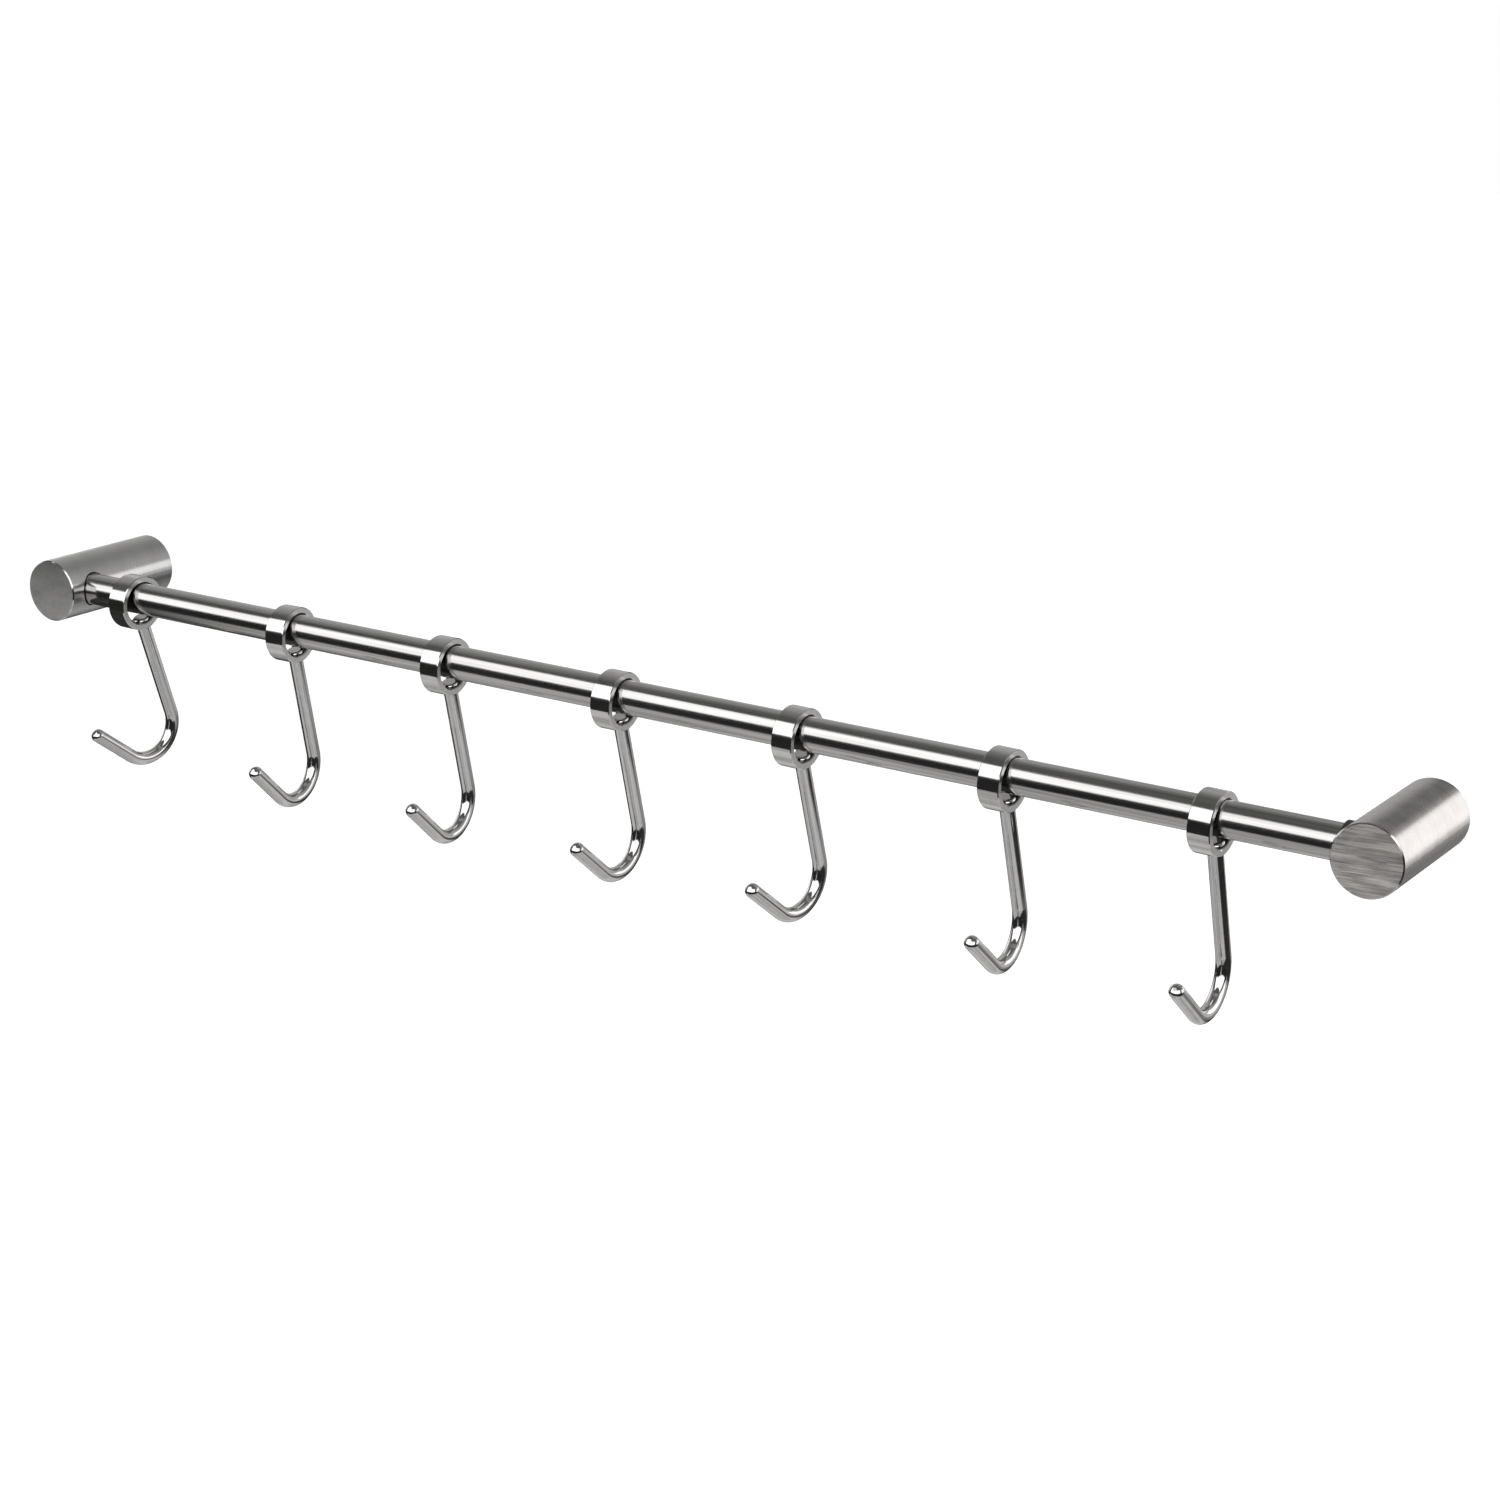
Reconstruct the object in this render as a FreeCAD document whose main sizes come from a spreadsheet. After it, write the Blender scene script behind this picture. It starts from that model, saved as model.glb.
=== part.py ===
import FreeCAD, Part
import math
import os

import Sketcher

# Kitchen utensil rail, in millimetres. The origin lies on the wall, midway between the two posts and
# level with the rail's axis. +X runs along the rail, +Y goes into the wall and +Z is up.

# The driving dimensions
SIZES = (
    ("post_spacing", 568, "axis of one post to axis of the other, and so from wall screw to wall screw"),
    ("post_diameter", 25, "outside of a turned post"),
    ("rail_standoff", 45, "wall to the axis of the rail"),
    ("post_nose", 13, "axis of the rail to the front face of a post"),
    ("post_front_edge", 0.45, "chamfer round the front face of a post"),
    ("post_back_edge", 0.4, "chamfer round the back face and the mouth of the socket"),
    ("seat_past_axis", 5, "how far the rail's seat goes on past the axis of the post"),
    ("seat_edge", 0.25, "broken edge where the rail's seat opens in the side of the post"),
    ("rail_diameter", 12.7, "outside of the rail tube"),
    ("rail_wall", 1, "wall of the rail tube"),
    ("rail_end_gap", 0.5, "end of the rail tube to the floor of its seat"),
    ("rail_end_edge", 0.3, "broken edge at each end of the rail tube"),
    ("bush_wall_left", 0.3, "wall of the sleeve round the rail in the left post"),
    ("bush_wall_right", 1.2, "wall of the sleeve round the rail in the right post"),
    ("bush_length", 12, "length of a sleeve"),
    ("bush_gap", 0.05, "clearance of a sleeve to the rail and to the post, each way"),
    ("bush_proud_left", 0, "how far the left sleeve stands out of its post at the top"),
    ("bush_proud_right", 2.5, "how far the right sleeve stands out of its post at the top"),
    ("post_wall", 4.45, "wall of a post round its boss"),
    ("boss_length", 11, "how far a boss stands out from the wall"),
    ("boss_edge", 0.5, "chamfer round the front of a boss"),
    ("boss_gap", 0.05, "clearance of a boss in its post, all round"),
    ("socket_spare", 1, "front of a boss to the bottom of the socket in the post"),
    ("screw_hole_diameter", 4.6, "hole through a boss for the wall screw"),
    ("screw_head_diameter", 9, "mouth of the countersink for the wall screw's head"),
    ("grub_diameter", 4, "grub screw that locks a post on its boss"),
    ("grub_recess", 0.65, "foot of a grub screw below the side of its post"),
    ("grub_end_edge", 0.4, "chamfer round the outer end of a grub screw"),
    ("grub_gap", 0.05, "clearance round a grub screw, and over the bottom of its groove"),
    ("grub_from_wall", 6, "wall to the axis of a grub screw"),
    ("groove_depth", 1.2, "right-angled groove round a boss, which takes the grub screw's cone"),
    ("hex_key", 2, "across the flats of a grub screw's socket"),
    ("hex_depth", 2, "depth of a grub screw's socket"),
    ("ring_bore", 16.8, "inside of a hook's ring"),
    ("ring_wall", 2.6, "wall of a hook's ring"),
    ("ring_width", 8.4, "width of a hook's ring along the rail"),
    ("ring_edge", 0.3, "chamfer on the two outer edges of a hook's ring"),
    ("ring_bore_edge", 0.5, "chamfer at the two ends of a ring's bore"),
    ("ring_hang_gap", 0.1, "clearance of a ring over the top of the rail"),
    ("wire_diameter", 5.4, "hook wire"),
    ("wire_shank", 52.7, "axis of the ring to the start of the bend"),
    ("wire_bend_radius", 13.4, "radius of the bend, to the middle of the wire"),
    ("wire_bend_angle", 145.6, "how far the wire turns in the bend, in degrees"),
    ("wire_tip_length", 22.4, "straight end of the wire, from the bend to the top of its dome"),
    ("wire_dome", 2.1, "rounding of the wire's end"),
    ("wire_gap", 0.12, "clearance of a wire and of its head to the ring"),
    ("head_diameter", 6.8, "peened head of a wire, inside the ring"),
    ("head_height", 1.2, "height of the peened head over the inside of the ring"),
    ("head_edge", 0.9, "rounding of the peened head"),
    ("first_hook_margin", 34.2, "axis of the left post to the first hook"),
    ("last_hook_margin", 58, "last hook to the axis of the right post"),
    ("hook_1_shift", 0, "hook 1 along the rail, from its place in an even row"),
    ("hook_2_shift", 3.2, "hook 2 along the rail"),
    ("hook_3_shift", 0.7, "hook 3 along the rail"),
    ("hook_4_shift", 0.4, "hook 4 along the rail"),
    ("hook_5_shift", -0.8, "hook 5 along the rail"),
    ("hook_6_shift", 2, "hook 6 along the rail"),
    ("hook_7_shift", 0, "hook 7 along the rail"),
    ("hook_1_turn", -2.3, "turn of hook 1 about the vertical, in degrees"),
    ("hook_2_turn", 2.5, "turn of hook 2 about the vertical"),
    ("hook_3_turn", 0.6, "turn of hook 3 about the vertical"),
    ("hook_4_turn", 0, "turn of hook 4 about the vertical"),
    ("hook_5_turn", -1.5, "turn of hook 5 about the vertical"),
    ("hook_6_turn", -1.7, "turn of hook 6 about the vertical"),
    ("hook_7_turn", -2.1, "turn of hook 7 about the vertical"),
    ("wire_1_lean", 18.8, "lean of wire 1 towards the wall as it hangs, in degrees"),
    ("wire_2_lean", 13, "lean of wire 2 towards the wall"),
    ("wire_3_lean", 14.1, "lean of wire 3 towards the wall"),
    ("wire_4_lean", 15.9, "lean of wire 4 towards the wall"),
    ("wire_5_lean", 17.8, "lean of wire 5 towards the wall"),
    ("wire_6_lean", 16.9, "lean of wire 6 towards the wall"),
    ("wire_7_lean", 16, "lean of wire 7 towards the wall"),
    ("wire_1_twist", -6.8, "twist of wire 1 in its ring, about its shank, in degrees"),
    ("wire_2_twist", 1.6, "twist of wire 2 in its ring"),
    ("wire_3_twist", 3.5, "twist of wire 3 in its ring"),
    ("wire_4_twist", -2, "twist of wire 4 in its ring"),
    ("wire_5_twist", -6.6, "twist of wire 5 in its ring"),
    ("wire_6_twist", 4.3, "twist of wire 6 in its ring"),
    ("wire_7_twist", 2.9, "twist of wire 7 in its ring"),
)
HOOK_COUNT = 7

# Sizes that follow from the ones above
FOLLOWING_SIZES = (
    ("post_length", "=rail_standoff + post_nose", "back to front of a post"),
    ("boss_diameter", "=post_diameter - 2 * (post_wall + boss_gap)", "boss that a post is pushed over"),
)

doc = FreeCAD.newDocument("utensil_rail")
sheet = doc.addObject("Spreadsheet::Sheet", "Sizes")
for row, (alias, value, meaning) in enumerate(SIZES + FOLLOWING_SIZES, start=1):
    sheet.set("A%d" % row, alias)
    sheet.set("B%d" % row, str(value))
    sheet.setAlias("B%d" % row, alias)
    sheet.set("C%d" % row, meaning)
doc.recompute()

# Sizes that several pieces share, as expressions on the sheet
POST_RADIUS = "Sizes.post_diameter / 2"
RAIL_RADIUS = "Sizes.rail_diameter / 2"
SLEEVE_INSIDE = "(%s + Sizes.bush_gap)" % RAIL_RADIUS
BOSS_RADIUS = "Sizes.boss_diameter / 2"
SOCKET_RADIUS = "(%s + Sizes.boss_gap)" % BOSS_RADIUS
SOCKET_DEPTH = "(Sizes.boss_length + Sizes.socket_spare)"
GROOVE_RADIUS = "(%s - Sizes.groove_depth)" % BOSS_RADIUS
GRUB_RADIUS = "Sizes.grub_diameter / 2"
GRUB_TIP = "(%s + Sizes.grub_gap)" % GROOVE_RADIUS
BORE_RADIUS = "Sizes.ring_bore / 2"
RING_RADIUS = "(%s + Sizes.ring_wall)" % BORE_RADIUS
FIRST_HOOK = "(Sizes.first_hook_margin - Sizes.post_spacing / 2)"
HOOK_SPREAD = "(Sizes.post_spacing - Sizes.first_hook_margin - Sizes.last_hook_margin)"
HOOK_PITCH = "%s / %d" % (HOOK_SPREAD, HOOK_COUNT - 1)
RING_DROP = "(%s - %s - Sizes.ring_hang_gap)" % (BORE_RADIUS, RAIL_RADIUS)
WIRE_RADIUS = "Sizes.wire_diameter / 2"
HEAD_TOP = "(%s - Sizes.wire_gap - Sizes.head_height)" % BORE_RADIUS


def new_body(name):
    """An empty body whose label names its file."""
    body = doc.addObject("PartDesign::Body", name)
    body.Label = name
    return body


def new_sketch(body, name, plane, offset=None):
    """A sketch on one of the body's own planes, moved along the plane's normal by offset."""
    sketch = body.newObject("Sketcher::SketchObject", name)
    support = [feature for feature in body.Origin.OriginFeatures if feature.Role == plane][0]
    sketch.AttachmentSupport = [(support, "")]
    sketch.MapMode = "FlatFace"
    if offset:
        sketch.setExpression("AttachmentOffset.Base.z", offset)
    return sketch


def pin_point(sketch, geometry, point, across, up):
    """Hold a point of the sketch at two expressions; the text 0 puts it on the axis itself."""
    for kind, axis, text in (("DistanceX", -2, across), ("DistanceY", -1, up)):
        if text == "0":
            sketch.addConstraint(Sketcher.Constraint("PointOnObject", geometry, point, axis))
            continue
        value = sketch.evalExpression(text)
        index = sketch.addConstraint(Sketcher.Constraint(kind, -1, 1, geometry, point, value))
        sketch.setExpression("Constraints[%d]" % index, text)


def draw_outline(sketch, corners):
    """A closed straight-sided outline; each corner is a pair of expressions."""
    places = []
    for across, up in corners:
        x, y = sketch.evalExpression(across), sketch.evalExpression(up)
        places.append(FreeCAD.Vector(x, y, 0))
    count = len(corners)
    for index in range(count):
        sketch.addGeometry(Part.LineSegment(places[index], places[(index + 1) % count]), False)
    for index in range(count):
        following = (index + 1) % count
        sketch.addConstraint(Sketcher.Constraint("Coincident", index, 2, following, 1))
    for index, (across, up) in enumerate(corners):
        pin_point(sketch, index, 1, across, up)


def draw_circle(sketch, radius, across="0", up="0"):
    """A circle; its radius and centre are expressions."""
    centre = FreeCAD.Vector(sketch.evalExpression(across), sketch.evalExpression(up), 0)
    size = sketch.evalExpression(radius)
    geometry = sketch.addGeometry(Part.Circle(centre, FreeCAD.Vector(0, 0, 1), size), False)
    index = sketch.addConstraint(Sketcher.Constraint("Radius", geometry, size))
    sketch.setExpression("Constraints[%d]" % index, radius)
    pin_point(sketch, geometry, 3, across, up)


def turn(body, name, plane, axis, corners):
    """A turned piece: half of its section, revolved about an axis of the sketch."""
    sketch = new_sketch(body, name + "_section", plane)
    draw_outline(sketch, corners)
    feature = body.newObject("PartDesign::Revolution", name)
    feature.Profile = sketch
    feature.ReferenceAxis = (sketch, [axis])
    feature.Angle = 360
    return feature


def cut(body, name, sketch, length=None, far=False, both=False):
    """A pocket of the sketch. A far pocket goes against the usual side, and both goes both ways."""
    feature = body.newObject("PartDesign::Pocket", name)
    feature.Profile = sketch
    feature.Reversed = far
    if both:
        feature.SideType = "Symmetric"
    if length:
        feature.Type = "Length"
        feature.setExpression("Length", length)
    else:
        feature.Type = "ThroughAll"
    return feature


def edges_where(feature, wanted):
    """The names of a feature's edges that pass a test."""
    return ["Edge%d" % number for number, edge in enumerate(feature.Shape.Edges, start=1) if wanted(edge)]


# The posts

def sleeve_outside(end):
    """The outside radius of the sleeve at one end of the rail, left or right."""
    return "(%s + Sizes.bush_wall_%s)" % (SLEEVE_INSIDE, end)


def make_post(end, side):
    """A turned post; the rail enters it on the side given, +1 to the right or -1 to the left."""
    name = "post_" + end
    body = new_body(name)
    turn(body, name + "_turned", "XY_Plane", "V_Axis", (
        ("0", "-Sizes.post_length"),
        (POST_RADIUS + " - Sizes.post_front_edge", "-Sizes.post_length"),
        (POST_RADIUS, "-Sizes.post_length + Sizes.post_front_edge"),
        (POST_RADIUS, "-Sizes.post_back_edge"),
        (POST_RADIUS + " - Sizes.post_back_edge", "0"),
        (SOCKET_RADIUS + " + Sizes.post_back_edge", "0"),
        (SOCKET_RADIUS, "-Sizes.post_back_edge"),
        (SOCKET_RADIUS, "-" + SOCKET_DEPTH),
        ("0", "-" + SOCKET_DEPTH),
    ))
    floor = "%d * Sizes.seat_past_axis" % -side
    seat_radius = "(%s + Sizes.bush_gap)" % sleeve_outside(end)
    seat = new_sketch(body, name + "_seat_circle", "YZ_Plane", floor)
    draw_circle(seat, seat_radius, "-Sizes.rail_standoff")
    seat_cut = cut(body, name + "_seat", seat, "Sizes.seat_past_axis + Sizes.post_diameter", far=side > 0)
    grub = new_sketch(body, name + "_grub_circle", "XY_Plane")
    draw_circle(grub, GRUB_RADIUS + " + Sizes.grub_gap", "0", "-Sizes.grub_from_wall")
    cut(body, name + "_grub_hole", grub, "Sizes.post_diameter")
    doc.recompute()
    standoff = sheet.rail_standoff
    reach = seat.evalExpression(seat_radius)
    mouth = math.sqrt((sheet.post_diameter / 2) ** 2 - reach ** 2)

    def on_mouth(edge):
        middle = edge.BoundBox.Center
        near = edge.BoundBox.XMin if side > 0 else -edge.BoundBox.XMax
        return abs(middle.y + standoff) < 0.01 and near > mouth - 0.01 and edge.BoundBox.ZLength > reach

    tip = body.Tip
    edge_break = body.newObject("PartDesign::Chamfer", name + "_seat_edge")
    edge_break.Base = (tip, edges_where(tip, on_mouth))
    edge_break.setExpression("Size", "Sizes.seat_edge")
    body.setExpression("Placement.Base.x", "%d * Sizes.post_spacing / 2" % -side)
    return body


# The rail

def make_rail():
    """The rail tube, whose ends stop just short of the floors of their seats."""
    body = new_body("rail_tube")
    half = "(Sizes.post_spacing / 2 + Sizes.seat_past_axis - Sizes.rail_end_gap)"
    inside = "(%s - Sizes.rail_wall)" % RAIL_RADIUS
    turn(body, "rail_turned", "XY_Plane", "H_Axis", (
        ("-" + half, inside),
        ("-" + half, RAIL_RADIUS + " - Sizes.rail_end_edge"),
        ("-%s + Sizes.rail_end_edge" % half, RAIL_RADIUS),
        (half + " - Sizes.rail_end_edge", RAIL_RADIUS),
        (half, RAIL_RADIUS + " - Sizes.rail_end_edge"),
        (half, inside),
    ))
    body.setExpression("Placement.Base.y", "-Sizes.rail_standoff")
    return body


def make_bush(end, side):
    """The sleeve round the rail; its flat end can stand proud of the post's round side at the top."""
    name = "rail_bush_" + end
    body = new_body(name)
    outside = sleeve_outside(end)
    mouth = "sqrt((%s)^2 - %s^2) + Sizes.bush_proud_%s" % (POST_RADIUS, outside, end)
    outer = "%d * (%s)" % (side, mouth)
    inner = "%d * (%s - Sizes.bush_length)" % (side, mouth)
    turn(body, name + "_sleeve", "XY_Plane", "H_Axis", (
        (inner, SLEEVE_INSIDE),
        (inner, outside),
        (outer, outside),
        (outer, SLEEVE_INSIDE),
    ))
    body.setExpression("Placement.Base.x", "%d * Sizes.post_spacing / 2" % -side)
    body.setExpression("Placement.Base.y", "-Sizes.rail_standoff")
    return body


# The fixing to the wall

def make_boss(name, side):
    """The turned boss inside the back of a post, with its countersunk hole and locking groove."""
    body = new_body(name)
    hole = "Sizes.screw_hole_diameter / 2"
    head = "Sizes.screw_head_diameter / 2"
    turn(body, name + "_turned", "XY_Plane", "V_Axis", (
        (hole, "0"),
        (BOSS_RADIUS, "0"),
        (BOSS_RADIUS, "-Sizes.grub_from_wall + Sizes.groove_depth"),
        (GROOVE_RADIUS, "-Sizes.grub_from_wall"),
        (BOSS_RADIUS, "-Sizes.grub_from_wall - Sizes.groove_depth"),
        (BOSS_RADIUS, "-Sizes.boss_length + Sizes.boss_edge"),
        (BOSS_RADIUS + " - Sizes.boss_edge", "-Sizes.boss_length"),
        (head, "-Sizes.boss_length"),
        (hole, "-Sizes.boss_length + %s - %s" % (head, hole)),
    ))
    body.setExpression("Placement.Base.x", "%d * Sizes.post_spacing / 2" % -side)
    return body


def make_grub(name, side):
    """The cone-point grub screw that comes up from under a post into the groove of its boss."""
    body = new_body(name)
    foot = "-(%s - Sizes.grub_recess)" % POST_RADIUS
    turn(body, name + "_turned", "XZ_Plane", "V_Axis", (
        ("0", "-" + GRUB_TIP),
        (GRUB_RADIUS, "-%s - %s" % (GRUB_TIP, GRUB_RADIUS)),
        (GRUB_RADIUS, foot + " + Sizes.grub_end_edge"),
        (GRUB_RADIUS + " - Sizes.grub_end_edge", foot),
        ("0", foot),
    ))
    key = body.newObject("PartDesign::SubtractivePrism", name + "_hex_socket")
    support = [feature for feature in body.Origin.OriginFeatures if feature.Role == "XY_Plane"][0]
    key.AttachmentSupport = [(support, "")]
    key.MapMode = "FlatFace"
    key.Polygon = 6
    key.setExpression("AttachmentOffset.Base.z", foot)
    key.setExpression("Circumradius", "Sizes.hex_key / sqrt(3)")
    key.setExpression("Height", "Sizes.hex_depth")
    body.setExpression("Placement.Base.x", "%d * Sizes.post_spacing / 2" % -side)
    body.setExpression("Placement.Base.y", "-Sizes.grub_from_wall")
    return body


# The hooks. Each hangs by its ring, so the ring's axis lies below the rail's.

def place_hook(body, number, piece):
    """Put a ring or a wire where its hook hangs."""
    along = "(%d * %s + Sizes.hook_%d_shift)" % (number - 1, HOOK_PITCH, number)
    spot = "vector(%s + %s; -Sizes.rail_standoff; -%s)" % (FIRST_HOOK, along, RING_DROP)
    spin = "rotation(vector(0; 0; 1); Sizes.hook_%d_turn)" % number
    if piece == "wire":
        spin += " * rotation(vector(1; 0; 0); Sizes.wire_%d_lean)" % number
        spin += " * rotation(vector(0; 0; 1); Sizes.wire_%d_twist)" % number
    body.setExpression("Placement", "placement(%s; %s)" % (spot, spin))


def make_ring(number):
    """The band ring that a hook slides and swings on."""
    body = new_body("hook_ring_%d" % number)
    half = "Sizes.ring_width / 2"
    turn(body, "ring_%d_turned" % number, "XY_Plane", "H_Axis", (
        ("-" + half, RING_RADIUS + " - Sizes.ring_edge"),
        ("-%s + Sizes.ring_edge" % half, RING_RADIUS),
        (half + " - Sizes.ring_edge", RING_RADIUS),
        (half, RING_RADIUS + " - Sizes.ring_edge"),
        (half, BORE_RADIUS + " + Sizes.ring_bore_edge"),
        (half + " - Sizes.ring_bore_edge", BORE_RADIUS),
        ("-%s + Sizes.ring_bore_edge" % half, BORE_RADIUS),
        ("-" + half, BORE_RADIUS + " + Sizes.ring_bore_edge"),
    ))
    place_hook(body, number, "ring")
    return body


def draw_wire_path(sketch):
    """The middle line of a hook wire: straight shank, round bend, straight tip."""
    shank, radius = sheet.wire_shank, sheet.wire_bend_radius
    bend, tip = math.radians(sheet.wire_bend_angle), sheet.wire_tip_length
    top = FreeCAD.Vector(0, -sketch.evalExpression(HEAD_TOP), 0)
    start = FreeCAD.Vector(0, -shank, 0)
    centre = FreeCAD.Vector(-radius, -shank, 0)
    finish = centre + FreeCAD.Vector(radius * math.cos(bend), -radius * math.sin(bend), 0)
    end = finish + FreeCAD.Vector(-tip * math.sin(bend), -tip * math.cos(bend), 0)
    circle = Part.Circle(centre, FreeCAD.Vector(0, 0, 1), radius)
    sketch.addGeometry(Part.LineSegment(top, start), False)
    sketch.addGeometry(Part.ArcOfCircle(circle, -bend, 0), False)
    sketch.addGeometry(Part.LineSegment(finish, end), False)
    pin_point(sketch, 0, 1, "0", "-" + HEAD_TOP)
    pin_point(sketch, 0, 2, "0", "-Sizes.wire_shank")
    sketch.addConstraint(Sketcher.Constraint("Tangent", 0, 2, 1, 2))
    sketch.addConstraint(Sketcher.Constraint("Tangent", 1, 1, 2, 1))
    for kind, geometry, value, text in (
        ("Radius", 1, radius, "Sizes.wire_bend_radius"),
        ("Distance", 2, tip, "Sizes.wire_tip_length"),
    ):
        index = sketch.addConstraint(Sketcher.Constraint(kind, geometry, value))
        sketch.setExpression("Constraints[%d]" % index, text)
    index = sketch.addConstraint(Sketcher.Constraint("Angle", 0, 2, 2, 1, math.pi - bend))
    sketch.setExpression("Constraints[%d]" % index, "180 - Sizes.wire_bend_angle")


def make_wire(number):
    """The bent wire of a hook with its peened head; the ring's wall fills the gap between them."""
    name = "wire_%d" % number
    body = new_body("hook_wire_%d" % number)
    path = new_sketch(body, name + "_path", "YZ_Plane")
    draw_wire_path(path)
    section = new_sketch(body, name + "_section", "XY_Plane", "-" + HEAD_TOP)
    draw_circle(section, WIRE_RADIUS)
    pipe = body.newObject("PartDesign::AdditivePipe", name + "_bent")
    pipe.Profile = section
    pipe.Spine = path
    head = new_sketch(body, name + "_head_circle", "XY_Plane", "-" + HEAD_TOP)
    draw_circle(head, "Sizes.head_diameter / 2")
    pad = body.newObject("PartDesign::Pad", name + "_head")
    pad.Profile = head
    pad.Reversed = True
    pad.setExpression("Length", "Sizes.head_height + Sizes.ring_wall / 2")
    doc.recompute()

    def on_rim(edge):
        round_rim = abs(edge.Length - math.pi * sheet.head_diameter) < 0.01
        return round_rim and edge.BoundBox.ZMax > -pad_top - 0.01

    def on_tip(edge):
        return edge.BoundBox.YMax < -far_side and edge.BoundBox.ZLength < sheet.wire_diameter

    pad_top = path.evalExpression(HEAD_TOP)
    far_side = path.Shape.BoundBox.YLength - sheet.wire_diameter
    rim = body.newObject("PartDesign::Fillet", name + "_head_edge")
    rim.Base = (pad, edges_where(pad, on_rim))
    rim.setExpression("Radius", "Sizes.head_edge")
    doc.recompute()
    dome = body.newObject("PartDesign::Fillet", name + "_dome")
    dome.Base = (rim, edges_where(rim, on_tip))
    dome.setExpression("Radius", "Sizes.wire_dome")
    wall = new_sketch(body, name + "_ring_wall", "YZ_Plane")
    draw_circle(wall, BORE_RADIUS + " - Sizes.wire_gap")
    draw_circle(wall, RING_RADIUS + " + Sizes.wire_gap")
    cut(body, name + "_split", wall, "Sizes.ring_width", both=True)
    place_hook(body, number, "wire")
    return body


pieces = [
    make_rail(),
    make_post("left", 1),
    make_post("right", -1),
    make_bush("left", 1),
    make_bush("right", -1),
    make_boss("wall_boss_left", 1),
    make_boss("wall_boss_right", -1),
    make_grub("grub_screw_left", 1),
    make_grub("grub_screw_right", -1),
]
for hook in range(1, HOOK_COUNT + 1):
    pieces.append(make_ring(hook))
    pieces.append(make_wire(hook))
doc.recompute()

for item in doc.Objects:
    if "Invalid" in item.State or "Error" in item.State:
        raise RuntimeError("%s could not be built: %s" % (item.Name, item.State))
for piece in pieces:
    if piece.Shape.isNull() or not piece.Shape.isValid() or not piece.Shape.Solids:
        raise RuntimeError("%s has no valid solid" % piece.Label)

os.makedirs("parts", exist_ok=True)
for piece in pieces:
    piece.Shape.exportStep("parts/%s.step" % piece.Label)
    box = piece.Shape.BoundBox
    print("%-18s %d solid(s) %9.1f mm3  x %7.2f %7.2f  y %7.2f %7.2f  z %7.2f %7.2f" % (
        piece.Label, len(piece.Shape.Solids), piece.Shape.Volume,
        box.XMin, box.XMax, box.YMin, box.YMax, box.ZMin, box.ZMax))
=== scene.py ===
import math

import bpy
from mathutils import Matrix, Vector

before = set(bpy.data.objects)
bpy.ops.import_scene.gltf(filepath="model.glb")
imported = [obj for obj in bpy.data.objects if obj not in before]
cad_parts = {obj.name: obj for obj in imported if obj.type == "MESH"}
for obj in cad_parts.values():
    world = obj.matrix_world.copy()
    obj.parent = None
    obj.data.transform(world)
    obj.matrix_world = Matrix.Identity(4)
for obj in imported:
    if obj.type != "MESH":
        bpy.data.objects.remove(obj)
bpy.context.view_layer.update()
scene = bpy.context.scene
scene.view_settings.view_transform = "Standard"


# The camera stands where the photograph was taken from: in front, to the right and above

CAMERA_PLACE = (0.607084, -0.924366, 0.311886)
CAMERA_AZIMUTH = 32.507  # degrees it looks to the left of straight ahead (+Y)
CAMERA_PITCH = 17.172  # degrees it looks down
CAMERA_ROLL = 1.135
CAMERA_LENS = 73.508  # mm
CAMERA_SENSOR = 36  # mm


def make_camera():
    azimuth, pitch, roll = (math.radians(angle) for angle in (CAMERA_AZIMUTH, CAMERA_PITCH, CAMERA_ROLL))
    ahead = Vector((-math.sin(azimuth) * math.cos(pitch), math.cos(azimuth) * math.cos(pitch),
                    -math.sin(pitch)))
    level = Vector((math.cos(azimuth), math.sin(azimuth), 0))
    above = level.cross(ahead)
    right = level * math.cos(roll) + above * math.sin(roll)
    up = above * math.cos(roll) - level * math.sin(roll)
    data = bpy.data.cameras.new("camera")
    data.lens = CAMERA_LENS
    data.sensor_width = CAMERA_SENSOR
    data.clip_start = 0.05
    data.clip_end = 50
    camera = bpy.data.objects.new("camera", data)
    turn = Matrix((right, up, -ahead)).transposed().to_4x4()
    camera.matrix_world = Matrix.Translation(CAMERA_PLACE) @ turn
    scene.collection.objects.link(camera)
    scene.camera = camera


# Node trees

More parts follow.
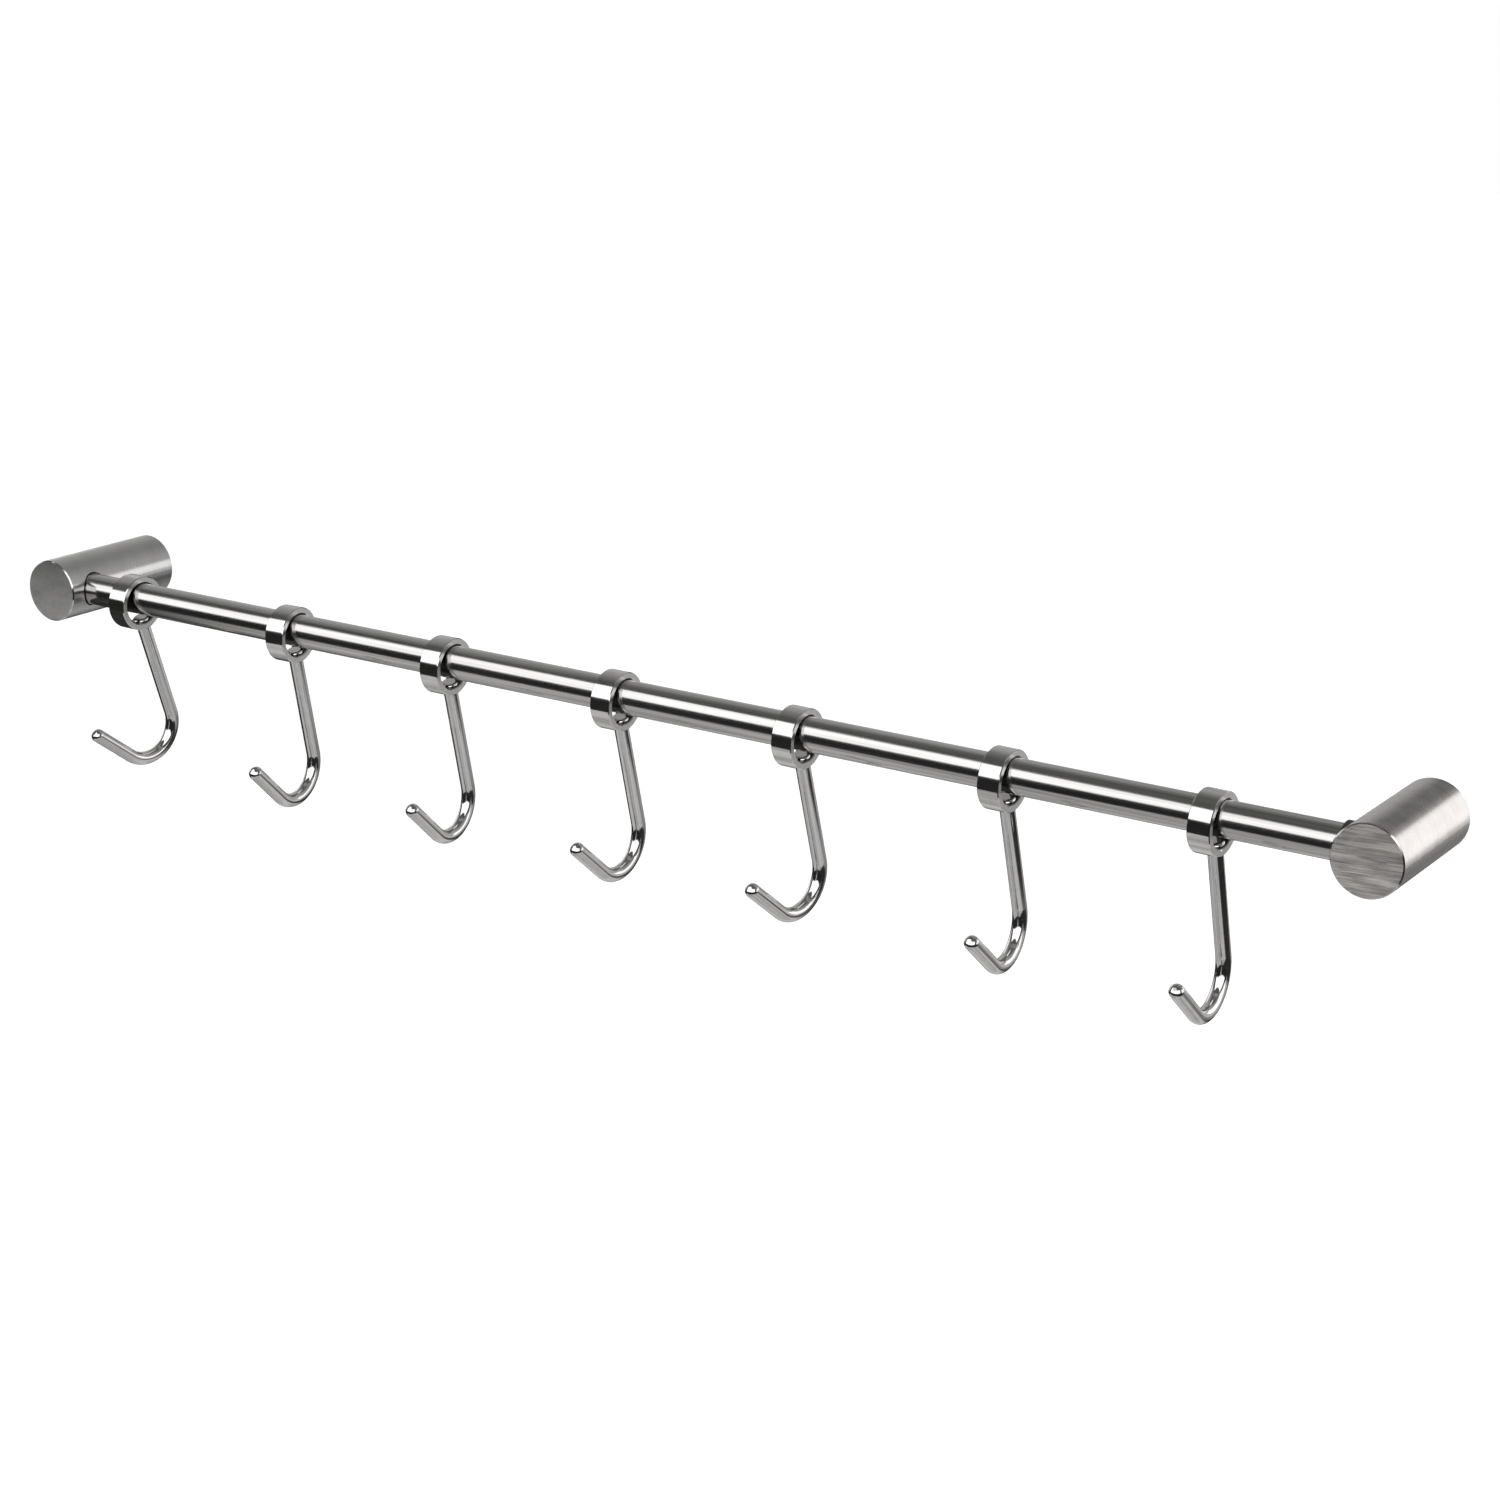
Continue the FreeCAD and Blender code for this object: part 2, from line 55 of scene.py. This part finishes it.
class Tree:
    """Adds nodes to a tree; an input may be a number, a tuple or another node's output."""

    def __init__(self, tree):
        self.tree = tree
        self.tree.nodes.clear()

    def node(self, kind, settings=None, **inputs):
        made = self.tree.nodes.new(kind)
        for key, value in (settings or {}).items():
            setattr(made, key, value)
        for key, value in inputs.items():
            self.put(made.inputs[key.replace("_", " ")], value)
        return made

    def put(self, socket, value):
        if isinstance(value, bpy.types.NodeSocket):
            self.tree.links.new(value, socket)
        else:
            socket.default_value = value

    def fill(self, made, *values):
        """Fills a node's first inputs in order."""
        for socket, value in zip(made.inputs, values):
            self.put(socket, value)
        return made

    def math(self, operation, *values):
        return self.fill(self.node("ShaderNodeMath", {"operation": operation}), *values).outputs[0]

    def add(self, first, second):
        return self.math("ADD", first, second)

    def minus(self, first, second):
        return self.math("SUBTRACT", first, second)

    def times(self, first, second):
        return self.math("MULTIPLY", first, second)

    def step(self, value, low, high, start=0.0, end=1.0):
        """Goes smoothly from start to end as value goes from low to high."""
        made = self.node("ShaderNodeMapRange", {"interpolation_type": "SMOOTHSTEP"})
        return self.fill(made, value, low, high, start, end).outputs[0]

    def between(self, value, low, high, soft):
        """Is 1 from low to high and 0 outside, with edges that are soft to both sides."""
        return self.times(self.step(value, low - soft, low + soft),
                          self.step(value, high - soft, high + soft, 1.0, 0.0))

    def blend(self, factor, first, second):
        return self.add(self.times(self.minus(1.0, factor), first), self.times(factor, second))

    def ramp(self, value, stops):
        """A colour ramp through (place, grey or colour) stops."""
        made = self.fill(self.node("ShaderNodeValToRGB"), value)
        band = made.color_ramp
        while len(band.elements) < len(stops):
            band.elements.new(0.5)
        for element, (place, level) in zip(band.elements, stops):
            element.position = place
            shade = level if isinstance(level, tuple) else (level, level, level)
            element.color = (*shade, 1)
        return made.outputs[0]

    def noise(self, vector, scale, detail=2.0, rough=0.5):
        made = self.node("ShaderNodeTexNoise", None, Vector=vector, Scale=scale, Detail=detail, Roughness=rough)
        return made.outputs["Fac"]

    def grain(self, place, stretch, detail=2.0, rough=0.5):
        """Noise with its own number of cells per metre along each axis."""
        made = self.node("ShaderNodeVectorMath", {"operation": "MULTIPLY"})
        return self.noise(self.fill(made, place, stretch).outputs[0], 1.0, detail, rough)

    def place(self):
        return self.node("ShaderNodeTexCoord").outputs["Object"]

    def axes(self, vector):
        return self.node("ShaderNodeSeparateXYZ", None, Vector=vector).outputs

    def facing(self, axis):
        """How squarely the surface faces along an axis, either way."""
        normal = self.node("ShaderNodeNewGeometry").outputs["Normal"]
        return self.math("ABSOLUTE", self.axes(normal)[axis])

    def bump(self, height, strength, distance):
        made = self.node("ShaderNodeBump", None, Strength=strength, Distance=distance, Height=height)
        return made.outputs[0]

    def glow(self, strength):
        return self.node("ShaderNodeEmission", None, Color=(1, 1, 1, 1), Strength=strength)

    def surface(self, shader, output="ShaderNodeOutputMaterial"):
        self.put(self.node(output).inputs["Surface"], shader.outputs[0])


def new_material(name):
    material = bpy.data.materials.new(name)
    material.use_nodes = True
    return material, Tree(material.node_tree)


# The studio, which the metal mirrors. Azimuths are degrees from straight in front (-Y) towards the right (+X),
# heights are degrees above the horizon.

FRONT_BOX = {"left": -60, "right": 62, "low": 5.6, "high": 50, "soft": 2.7, "level": 1.75}
LEFT_BOX = {"left": -130, "right": -92, "low": -6, "high": 25, "soft": 6, "level": 1.15}

# the front box's lower edge rises to the left of one azimuth, and falls again to the left of another
RISE_FROM, RISE = 20.0, 0.14
FALL_FROM, FALL = -33.0, 0.42

# the walls' brightness from straight down (0) over the horizon (0.5) to straight up (1)
FRONT_WALL = ((0.0, 0.5), (0.29, 0.5), (0.31, 0.025), (0.52, 0.02), (0.60, 0.10), (0.84, 0.10),
              (0.92, 0.16), (1.0, 0.2))
BACK_WALL = ((0.0, 0.5), (0.38, 0.42), (0.47, 0.42), (0.53, 0.48), (0.60, 0.48), (0.65, 0.44),
             (0.70, 0.38), (0.75, 0.33), (0.80, 0.22), (0.86, 0.11), (1.0, 0.18))
FRONT_WALL_END, BACK_WALL_START = 75, 112
REAR_PATCH_LEVEL = 0.07


def add_box(t, level, azimuth, height, box, low):
    """Sets a softbox into the walls; low is the height of its lower edge."""
    soft, high = box["soft"], box["high"]
    across = t.between(azimuth, box["left"], box["right"], soft)
    upward = t.times(t.step(t.minus(height, low), -soft, soft),
                     t.step(height, high - soft, high + soft, 1.0, 0.0))
    return t.blend(t.times(across, upward), level, box["level"])


def make_world():
    world = bpy.data.worlds.new("studio")
    scene.world = world
    world.use_nodes = True
    t = Tree(world.node_tree)
    x, y, z = t.axes(t.node("ShaderNodeTexCoord").outputs["Generated"])
    azimuth = t.times(t.math("ARCTAN2", x, t.times(y, -1.0)), 180 / math.pi)
    height = t.times(t.math("ARCSINE", z), 180 / math.pi)
    lift = t.add(t.times(height, 1 / 180), 0.5)
    walls = t.blend(t.step(t.math("ABSOLUTE", azimuth), FRONT_WALL_END, BACK_WALL_START),
                    t.ramp(lift, FRONT_WALL), t.ramp(lift, BACK_WALL))
    # straight behind it is darker
    rear = t.math("MAXIMUM", t.step(azimuth, 166, 176), t.step(azimuth, -148, -172))
    patch = t.times(rear, t.times(t.step(height, 4, 18), t.step(height, 27, 35, 1.0, 0.0)))
    level = t.blend(patch, walls, REAR_PATCH_LEVEL)
    rise = t.times(t.math("MAXIMUM", t.minus(RISE_FROM, azimuth), 0.0), RISE)
    fall = t.times(t.math("MAXIMUM", t.minus(FALL_FROM, azimuth), 0.0), FALL)
    low = t.add(t.minus(rise, fall), FRONT_BOX["low"])
    level = add_box(t, level, azimuth, height, FRONT_BOX, low)
    level = add_box(t, level, azimuth, height, LEFT_BOX, LEFT_BOX["low"])
    # the camera sees a white background
    seen = t.node("ShaderNodeLightPath").outputs["Is Camera Ray"]
    light = t.node("ShaderNodeBackground", None, Color=(1, 1, 1, 1), Strength=t.blend(seen, level, 1.0))
    t.surface(light, "ShaderNodeOutputWorld")


def make_sheet(name, corners, material):
    """One flat stage piece."""
    mesh = bpy.data.meshes.new(name)
    mesh.from_pydata(corners, [], [(0, 1, 2, 3)])
    mesh.materials.append(material)
    sheet = bpy.data.objects.new(name, mesh)
    scene.collection.objects.link(sheet)
    return sheet


FLOOR_HEIGHT = -0.40
FLOOR_X = (-3.0, 3.0)
FLOOR_Y = (-0.60, 5.0)
PAPER = (0.8, 0.8, 0.8, 1)
PAPER_GLOW = 0.18  # on the object
SHOWN_NEAR, SHOWN_FAR = 0.42, 0.85  # the glow that the camera sees, which makes the paper white

# what the metal mirrors of the sheet: a lit patch below the rail, dark beside it, grey beyond
LIT, UNLIT, UNLIT_BEYOND = 0.57, 0.035, 0.03
LEFT_EDGE, LEFT_SLOPE = -0.51, 0.42
RIGHT_EDGE, RIGHT_SLOPE, RIGHT_TURN = 0.735, 0.35, 0.25


def mirrored_floor(t, place, x, y):
    left = t.add(t.times(t.math("MINIMUM", y, 0.0), LEFT_SLOPE), LEFT_EDGE)
    right = t.add(t.times(t.math("MINIMUM", t.minus(y, RIGHT_TURN), 0.0), RIGHT_SLOPE), RIGHT_EDGE)
    lit_left = t.step(t.minus(x, left), -0.08, 0.08)
    lit_right = t.math("MAXIMUM", t.step(t.minus(x, right), -0.04, 0.04, 1.0, 0.0), t.step(y, 0.80, 1.05))
    below = t.blend(t.times(lit_left, lit_right), UNLIT, LIT)
    reach = t.add(x, y)
    far = t.add(t.step(reach, 0.70, 1.00, 0.05, 0.24), t.step(reach, 1.0, 2.3, 0.0, 0.38))
    beyond = t.blend(lit_right, UNLIT_BEYOND, far)
    cloud = t.step(t.noise(place, 5.5, 1.0, 0.4), 0.32, 0.68, 0.74, 1.12)
    return t.times(t.blend(t.step(y, 0.25, 0.45), below, beyond), cloud)


def make_floor():
    """A pale sheet below the rail, which the camera sees as white and the metal as grey."""
    material, t = new_material("floor_paper")
    path = t.node("ShaderNodeLightPath").outputs
    place = t.place()
    x, y = t.axes(place)[:2]
    away = t.math("MAXIMUM", y, t.minus(t.math("ABSOLUTE", x), 0.6))
    shown = t.step(away, 0.2, 3.0, SHOWN_NEAR, SHOWN_FAR)
    viewed = t.math("MAXIMUM", path["Is Camera Ray"], path["Is Transmission Ray"])
    paper = t.node("ShaderNodeBsdfDiffuse", None, Color=PAPER)
    glow = t.glow(t.blend(viewed, PAPER_GLOW, shown))
    lit = t.fill(t.node("ShaderNodeAddShader"), paper.outputs[0], glow.outputs[0])
    grey = t.glow(mirrored_floor(t, place, x, y))
    t.surface(t.fill(t.node("ShaderNodeMixShader"), path["Is Glossy Ray"], lit.outputs[0], grey.outputs[0]))
    corners = [(FLOOR_X[0], FLOOR_Y[0], FLOOR_HEIGHT), (FLOOR_X[1], FLOOR_Y[0], FLOOR_HEIGHT),
               (FLOOR_X[1], FLOOR_Y[1], FLOOR_HEIGHT), (FLOOR_X[0], FLOOR_Y[1], FLOOR_HEIGHT)]
    make_sheet("floor", corners, material)


CARD_CORNERS = [(0.43, -0.06, -0.05), (0.43, 0.84, -0.0875), (0.43, 0.84, 0.285), (0.43, -0.06, 0.11)]
CARD_LOW, CARD_HIGH = 1.35, 1.6


def make_card():
    """A white card to the right of the right end, seen only by the metal."""
    material, t = new_material("card_white")
    t.surface(t.glow(t.step(t.noise(t.place(), 6.0, 2.0), 0.3, 0.7, CARD_LOW, CARD_HIGH)))
    card = make_sheet("side_card", CARD_CORNERS, material)
    card.visible_camera = False
    card.visible_diffuse = False
    card.visible_shadow = False


def make_lamp():
    """A wide soft lamp overhead for the matt surfaces; the metal mirrors only the studio."""
    data = bpy.data.lights.new("overhead", "AREA")
    data.shape = "RECTANGLE"
    data.size = 2.4
    data.size_y = 1.6
    data.energy = 26
    lamp = bpy.data.objects.new("overhead", data)
    lamp.location = (0.2, -0.7, 1.6)
    aim = Vector((0, 0, -0.1)) - lamp.location
    lamp.rotation_euler = aim.to_track_quat("-Z", "Y").to_euler()
    lamp.visible_glossy = False
    lamp.visible_camera = False
    scene.collection.objects.link(lamp)


# Materials. A stretch is the number of noise cells per metre along x, y and z.

RAIL_DARK, RAIL_PALE = (0.490, 0.483, 0.474), (0.640, 0.631, 0.620)
POLISH_DARK, POLISH_PALE = (0.665, 0.655, 0.645), (0.735, 0.725, 0.713)
# painted shade: the dark grey given to the rings' bores stands for the shade inside the ring
BORE_SHADE_COLOUR = (0.15, 0.147, 0.143, 1.0)
FIXING_DARK, FIXING_PALE = (0.47, 0.465, 0.455), (0.56, 0.553, 0.545)
POST_RADIUS = 0.0125
RING_AXIS_Y, RING_AXIS_Z = -0.045, -0.00195
BORE_RADIUS = 0.0084


def rail_steel():
    """Brushed along its length: fine streaks, and reflections smeared round the tube."""
    material, t = new_material("rail_steel")
    place = t.place()
    fine = t.grain(place, (7.0, 1500.0, 1500.0), 3.0, 0.6)
    wide = t.grain(place, (16.0, 420.0, 420.0))
    streaks = t.blend(0.4, fine, wide)
    colour = t.ramp(streaks, ((0.36, RAIL_DARK), (0.62, RAIL_PALE)))
    rough = t.step(streaks, 0.30, 0.70, 0.12, 0.18)
    tangent = t.node("ShaderNodeTangent", {"direction_type": "RADIAL", "axis": "X"})
    t.surface(t.node("ShaderNodeBsdfPrincipled", None, Base_Color=colour, Metallic=1.0, Roughness=rough,
                     Anisotropic=0.5, Normal=t.bump(streaks, 0.20, 0.00005), Tangent=tangent.outputs[0]))
    return material


def post_steel(name, tint, pale, contrast, painted_fade, stretch, roughness, scratches):
    """Satin turned sides, and ends brushed across; the edge between them is bright.

    On the ends, pale and contrast set the mean and the spread of the brushing's brightness, painted_fade how
    much paler the colour is painted downwards as painted shading, and stretch and scratches its marks.
    """
    material, t = new_material(name)
    place = t.place()
    facing = t.facing("Y")
    end = t.step(facing, 0.90, 0.97)
    edge = t.times(t.step(facing, 0.15, 0.35), t.step(facing, 0.85, 0.95, 1.0, 0.0))
    turned = t.grain(place, (40.0, 1300.0, 40.0), 3.0, 0.6)
    patchy = t.grain(place, (110.0, 170.0, 110.0), 3.0)
    side_grain = t.blend(0.65, turned, patchy)
    # the brushing of the end runs along the rail, a little askew
    askew = t.node("ShaderNodeMapping", {"vector_type": "POINT"}, Vector=place,
                   Rotation=(0.0, math.radians(3), 0.0)).outputs[0]
    lines = t.grain(askew, stretch, 4.0, 0.7)
    broad = t.grain(askew, (90.0, 90.0, 300.0), 3.0)
    brushed = t.blend(0.45, lines, broad)
    cuts = t.grain(askew, (75.0, 75.0, 2100.0), 1.0, 0.4)
    scratched = t.times(t.times(t.step(cuts, 0.64, 0.72), scratches), end)
    marks = t.add(t.blend(end, side_grain, brushed), scratched)
    side = t.step(side_grain, 0.30, 0.70, 0.60, 0.70)
    face = t.step(marks, 0.36, 0.66, pale - contrast, pale + contrast)
    # painted shading: the end's colour is painted paler towards its bottom, standing in for light that falls
    # unevenly on it
    face = t.times(face, t.math("MULTIPLY_ADD", t.axes(place)["Z"], -painted_fade / POST_RADIUS, 1.0))
    colour = t.node("ShaderNodeVectorMath", {"operation": "SCALE"}, Scale=t.blend(end, side, face))
    satin = t.blend(end, t.step(side_grain, 0.25, 0.75, 0.23, 0.29), t.step(brushed, 0.30, 0.70, *roughness))
    rough = t.blend(edge, satin, 0.12)
    depth = t.times(marks, t.step(end, 0.0, 1.0, 0.35, 1.0))
    # the highlight spreads across the marks: along the post on its side, up and down on its ends
    across = t.node("ShaderNodeCombineXYZ", None, Y=t.minus(1.0, end), Z=end)
    t.surface(t.node("ShaderNodeBsdfPrincipled", None, Base_Color=t.fill(colour, tint).outputs[0],
                     Metallic=1.0, Roughness=rough, Anisotropic=0.7, Normal=t.bump(depth, 0.25, 0.00006),
                     Tangent=across.outputs[0]))
    return material


def polished_steel(name, is_ring):
    """Bright polish with faint hairlines; a ring has a rougher bore, painted dark grey as painted shade inside
    the ring, and satin flat edges.
    """
    material, t = new_material(name)
    place = t.place()
    cloud = t.grain(place, (300.0, 300.0, 300.0), 3.0)
    hair = t.grain(place, (2600.0, 300.0, 300.0))
    colour = t.ramp(cloud, ((0.3, POLISH_DARK), (0.7, POLISH_PALE)))
    rough = t.step(cloud, 0.25, 0.75, 0.06, 0.10)
    if is_ring:
        y, z = t.axes(place)[1:]
        y, z = t.minus(y, RING_AXIS_Y), t.minus(z, RING_AXIS_Z)
        radius = t.math("SQRT", t.add(t.times(y, y), t.times(z, z)))
        bore = t.step(radius, BORE_RADIUS + 0.0001, BORE_RADIUS + 0.0003, 1.0, 0.0)
        # painted shade: the bore's colour is mixed to a dark grey that stands for the shade inside the ring
        bore_shade_mix = t.node("ShaderNodeMix", {"data_type": "RGBA"})
        for index, value in ((0, bore), (6, colour), (7, BORE_SHADE_COLOUR)):
            t.put(bore_shade_mix.inputs[index], value)
        colour = bore_shade_mix.outputs[2]
        rough = t.blend(bore, rough, 0.35)
        rough = t.blend(t.step(t.facing("X"), 0.85, 0.97), rough, 0.30)
    t.surface(t.node("ShaderNodeBsdfPrincipled", None, Base_Color=colour, Metallic=1.0, Roughness=rough,
                     Normal=t.bump(hair, 0.05, 0.00003)))
    return material


def black_plastic():
    """Matt black, slightly grained."""
    material, t = new_material("black_plastic")
    grain = t.noise(t.place(), 2500.0)
    t.surface(t.node("ShaderNodeBsdfPrincipled", None, Base_Color=t.ramp(grain, ((0.3, 0.010), (0.7, 0.022))),
                     Roughness=t.step(grain, 0.3, 0.7, 0.42, 0.55), Normal=t.bump(grain, 0.2, 0.00003)))
    return material


def fixing_steel():
    """Plain turned steel of the hidden fixings."""
    material, t = new_material("fixing_steel")
    lines = t.grain(t.place(), (60.0, 2200.0, 60.0))
    t.surface(t.node("ShaderNodeBsdfPrincipled", None, Metallic=1.0,
                     Base_Color=t.ramp(lines, ((0.3, FIXING_DARK), (0.7, FIXING_PALE))),
                     Roughness=t.step(lines, 0.25, 0.75, 0.28, 0.42), Normal=t.bump(lines, 0.3, 0.00004)))
    return material


def dress(nodes):
    """Gives each CAD node the finish that its name starts with."""
    finishes = {
        "rail_tube": rail_steel(),
        "post_left": post_steel("post_steel_plain", tint=(1.01, 1.0, 0.985), pale=0.66, contrast=0.05,
                                painted_fade=0.34, stretch=(500.0, 500.0, 700.0), roughness=(0.40, 0.46),
                                scratches=0.0),
        "post_right": post_steel("post_steel_brushed", tint=(1.04, 0.985, 0.955), pale=0.65, contrast=0.20,
                                 painted_fade=0.15, stretch=(45.0, 45.0, 1600.0), roughness=(0.36, 0.50),
                                 scratches=1.0),
        "rail_bush": black_plastic(),
        "wall_boss": fixing_steel(),
        "grub_screw": fixing_steel(),
        "hook_ring": polished_steel("polished_ring", True),
        "hook_wire": polished_steel("polished_wire", False),
    }
    for name, piece in nodes.items():
        finish = next(made for start, made in finishes.items() if name.startswith(start))
        piece.data.materials.clear()
        piece.data.materials.append(finish)


make_camera()
make_world()
make_floor()
make_card()
make_lamp()
dress(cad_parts)
